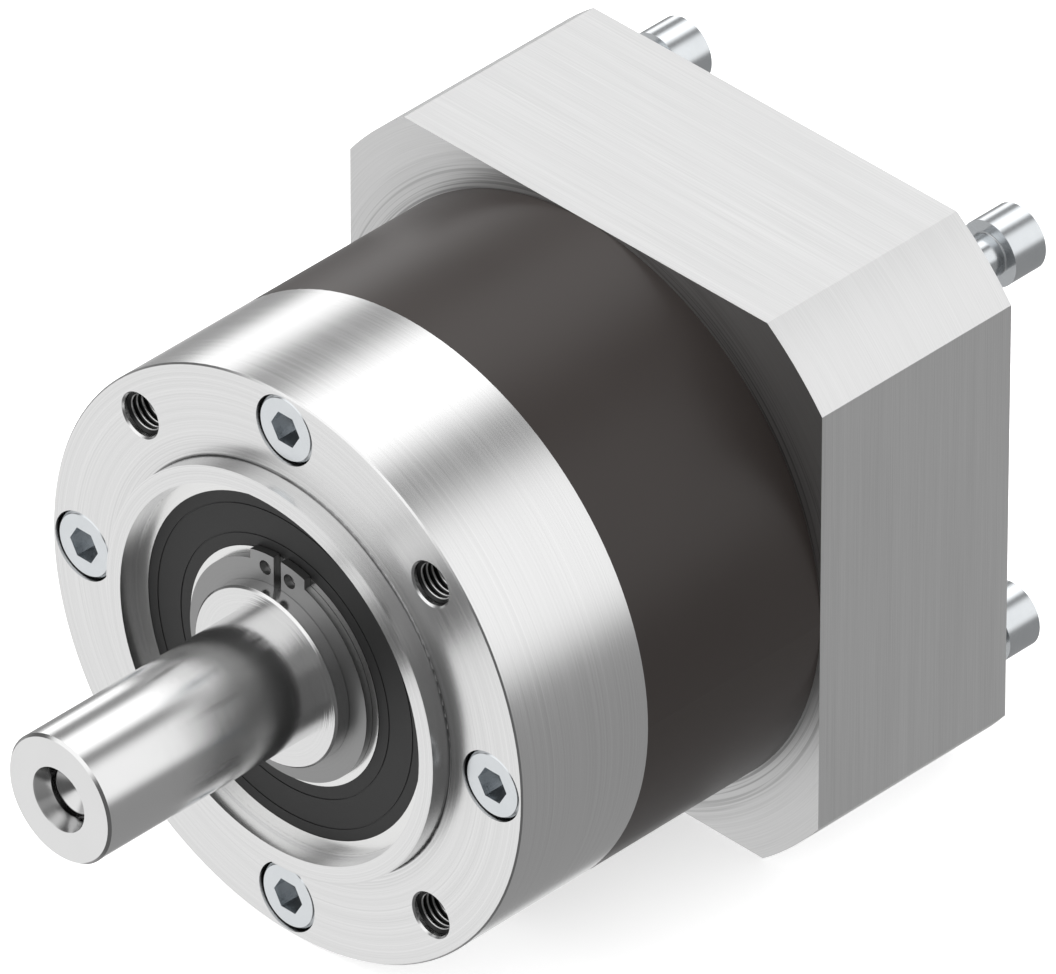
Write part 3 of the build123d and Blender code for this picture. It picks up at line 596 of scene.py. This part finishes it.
zinc = Finish("zinc_plating", metallic=1.0)
x, y, z, radius = place(zinc)
crystals = grain(zinc, x * 2.5, y * 2.5, z * 2.5, detail=4.0)
bloom = grain(zinc, x * 0.3, y * 0.3, z * 0.3)
blue_grey, pale_blue, socket_shade_colour = (0.62, 0.645, 0.665, 1), (0.73, 0.755, 0.775, 1), (0.10, 0.11, 0.12, 1)
plated = blend_colours(zinc, crystals * 0.5 + bloom * 0.5, blue_grey, pale_blue)
across_x, across_z = (axis.sum("ABSOLUTE", axis) for axis in (x, z))
outer, inner = (x.sum(choice, across_x, across_z) for choice in ("MAXIMUM", "MINIMUM"))
from_screw_axis = ((outer - SCREW_CIRCLE) ** 2 + inner * inner) ** 0.5
in_socket = 1 - step(zinc, from_screw_axis, SOCKET_RADIUS - 0.1, SOCKET_RADIUS + 0.1)
in_socket = in_socket * step(zinc, y, 0.35, 1.5)
zinc.set(
    # painted shade darkens the colour inside the sockets
    base_color=blend_colours(zinc, in_socket * 0.27, plated, socket_shade_colour),
    roughness=0.19 + (crystals - 0.5) * 0.08,
    normal=relief(zinc, crystals, 0.5),
)
print("zinc ready")

# %% [markdown]
# ## Rubber
#
# The bearing's seals are black nitrile rubber, moulded on a thin disc. They are matt, a touch
# lighter where the mould was polished, and have the faintest orange-peel texture.

# %% Seal rubber
rubber = Finish("nitrile_rubber", specular_ior_level=0.34)
x, y, z, radius = place(rubber)
dapple = grain(rubber, x * 1.2, y * 1.2, z * 1.2, detail=4.0)
rubber.set(
    base_color=blend_colours(rubber, dapple, grey(0.013), grey(0.018)),
    roughness=0.48 + (dapple - 0.5) * 0.1,
    normal=relief(rubber, dapple, 3.0),
)
print("rubber ready")

# %% [markdown]
# ## Give every piece its finish
#
# The record names a slot for each node, so the finishes can be handed out by slot. The mesh stays
# as it is. Only the material in each object's slots changes.

# %% Hand out the finishes
FINISHES = {
    "flange_metal": flange_finish,
    "housing_black": dark_coat.material,
    "block_metal": block_finish,
    "screw_zinc": zinc.material,
    "shaft_steel": shaft_finish,
    "bearing_steel": bearing_finish,
    "seal_rubber": rubber.material,
    "ring_steel": ring_finish,
    "gear_steel": gear_steel.material,
    "cage_steel": cage_finish,
    "plug_steel": plug_finish,
}
slot_of = {part["node"]: part["material_slot"] for part in frame["record"]["subparts"]}
for name, piece in nodes.items():
    for slot in piece.material_slots:
        slot.material = FINISHES[slot_of[name]]
print("dressed", len(nodes), "nodes in", len(FINISHES), "finishes")

# %% [markdown]
# ## Threads in the tapped holes
#
# The four tapped holes are smooth in the model. A real tap leaves V-shaped grooves with a small
# flat on each crest between them. They could be cut with a boolean, but a strip that winds along the
# wall looks the same and leaves the model's mesh alone. Its four-cornered section follows a helix,
# and each turn touches the next, so that the wall is covered. Light hardly reaches the bottom of
# the grooves, so painted shade darkens the colour from the crest to the root.

# %% Finish of the threads
THREAD_PITCH, THREAD_ROOT, THREAD_CREST = 1.25, 4.20, 3.50

thread_metal = Finish("tapped_thread", metallic=1.0)
x, y, z, radius = place(thread_metal)
# Painted shade: 0 at the crest, 1 towards the root, where the colour goes dark.
depth = step(thread_metal, radius, THREAD_CREST + 0.03, THREAD_CREST + 0.20)
chips = grain(thread_metal, x * 2.0, y * 4.0, z * 2.0)
crest_colour = blend_colours(thread_metal, chips, grey(0.68), grey(0.90))
thread_metal.set(
    base_color=blend_colours(thread_metal, depth, crest_colour, grey(0.035)),
    roughness=0.34 + (chips - 0.5) * 0.2,
    normal=relief(thread_metal, chips, 12.0),
)
print("thread finish ready")

# %% [markdown]
# All four threads are the same strip, so its mesh is built once, round the origin, and each hole
# gets an object that shares it.

# %% Wind one thread
TURN_STEPS = 72
FADE_STEPS = 18
THREAD_FRONT, THREAD_BACK = 0.37, 21.6
# Radius, and the place along the axis in turns, for each corner of the thread's section
THREAD_SECTION = [(THREAD_ROOT, -0.5), (THREAD_CREST, -0.09), (THREAD_CREST, 0.09), (THREAD_ROOT, 0.5)]


def on_circle(shape, radius, y, angle):
    """A new corner at a distance from the Y axis, given in millimetres."""
    return shape.verts.new(Vector((radius * cos(angle), y, radius * sin(angle))) / 1000)


def finished_mesh(name, shape, material):
    mesh = bpy.data.meshes.new(name)
    shape.to_mesh(mesh)
    shape.free()
    mesh.materials.append(material)
    return mesh


def thread_mesh():
    """A thread along Y round the origin."""
    count = int(((THREAD_BACK - THREAD_FRONT) / THREAD_PITCH - 1) * TURN_STEPS)
    shape = bmesh.new()
    rings = []
    for index in range(count + 1):
        turns = index / TURN_STEPS
        fade = min(1.0, index / FADE_STEPS, (count - index) / FADE_STEPS)
        ring = []
        for reach, shift in THREAD_SECTION:
            radius = THREAD_ROOT + (reach - THREAD_ROOT) * fade
            y = THREAD_FRONT + (0.5 + turns + shift) * THREAD_PITCH
            ring.append(on_circle(shape, radius, y, tau * turns))
        rings.append(ring)
    for before, after in zip(rings, rings[1:]):
        for corner in range(4):
            following = (corner + 1) % 4
            shape.faces.new((before[corner], before[following], after[following], after[corner]))
    shape.faces.new(reversed(rings[0]))
    shape.faces.new(rings[-1])
    bmesh.ops.recalc_face_normals(shape, faces=shape.faces)
    return finished_mesh("thread", shape, thread_metal.material)


flange_thread = thread_mesh()
print("thread of", len(flange_thread.polygons), "faces")

# %% Put a thread in each tapped hole
for number in range(4):
    angle = radians(45 + 90 * number)
    ridge = bpy.data.objects.new(f"flange_thread_{number + 1}", flange_thread)
    bpy.context.scene.collection.objects.link(ridge)
    ridge.location = (SCREW_CIRCLE / 1000 * cos(angle), 0, SCREW_CIRCLE / 1000 * sin(angle))
    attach(ridge, "housing")
    print(ridge.name, "at", [round(1000 * v, 2) for v in ridge.location])

# %% [markdown]
# ## The point of the centre hole
#
# A lathe's centre holds the shaft in a cone of 60 degrees. Behind the cone the drill left a short
# straight stretch and its own blunt point. The picture shows that bottom, so a thin turned skin
# lines the hole. It starts where the model's cone ends and touches nothing else.

# %% Line the centre hole
# Pairs of radius and depth in millimetres: end of the cone, straight stretch, drill point
HOLE_PROFILE = [(5.24, 1.83), (4.75, 2.68), (4.70, 2.80), (4.70, 3.95), (4.66, 4.03)]
HOLE_PROFILE += [(2.3, 5.45), (0.0, 6.83)]
HOLE_STEPS = 96


def turned_skin(name, profile, material):
    """A skin turned round the Y axis from a profile, closed by one point at its end."""
    shape = bmesh.new()
    rings = []
    for radius, depth in profile:
        count = HOLE_STEPS if radius else 1
        angles = [tau * index / HOLE_STEPS for index in range(count)]
        rings.append([on_circle(shape, radius, SHAFT_END + depth, angle) for angle in angles])
    for outer, inner in zip(rings, rings[1:]):
        for index in range(HOLE_STEPS):
            following = (index + 1) % HOLE_STEPS
            end = [inner[following], inner[index]] if len(inner) > 1 else inner
            shape.faces.new([outer[index], outer[following], *end])
    mesh = finished_mesh(name, shape, material)
    mesh.shade_smooth()
    mesh.set_sharp_from_angle(angle=radians(20))
    return mesh


lining_mesh = turned_skin("centre_hole", HOLE_PROFILE, shaft_finish)
lining = bpy.data.objects.new("centre_hole_lining", lining_mesh)
bpy.context.scene.collection.objects.link(lining)
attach(lining, "output")
print("lining faces", len(lining.data.polygons))

# %% [markdown]
# ## Last look at the sizes
#
# The box of the bare model is subtracted from that of the dressed one, so that any growth from
# the finishes and threads is printed in millimetres.

# %% Compare the boxes and finish
seen_low, seen_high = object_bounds()
growth = (seen_high - seen_low) - (cad_high - cad_low)
print("grew by", [round(1000 * length, 4) for length in growth], "mm")
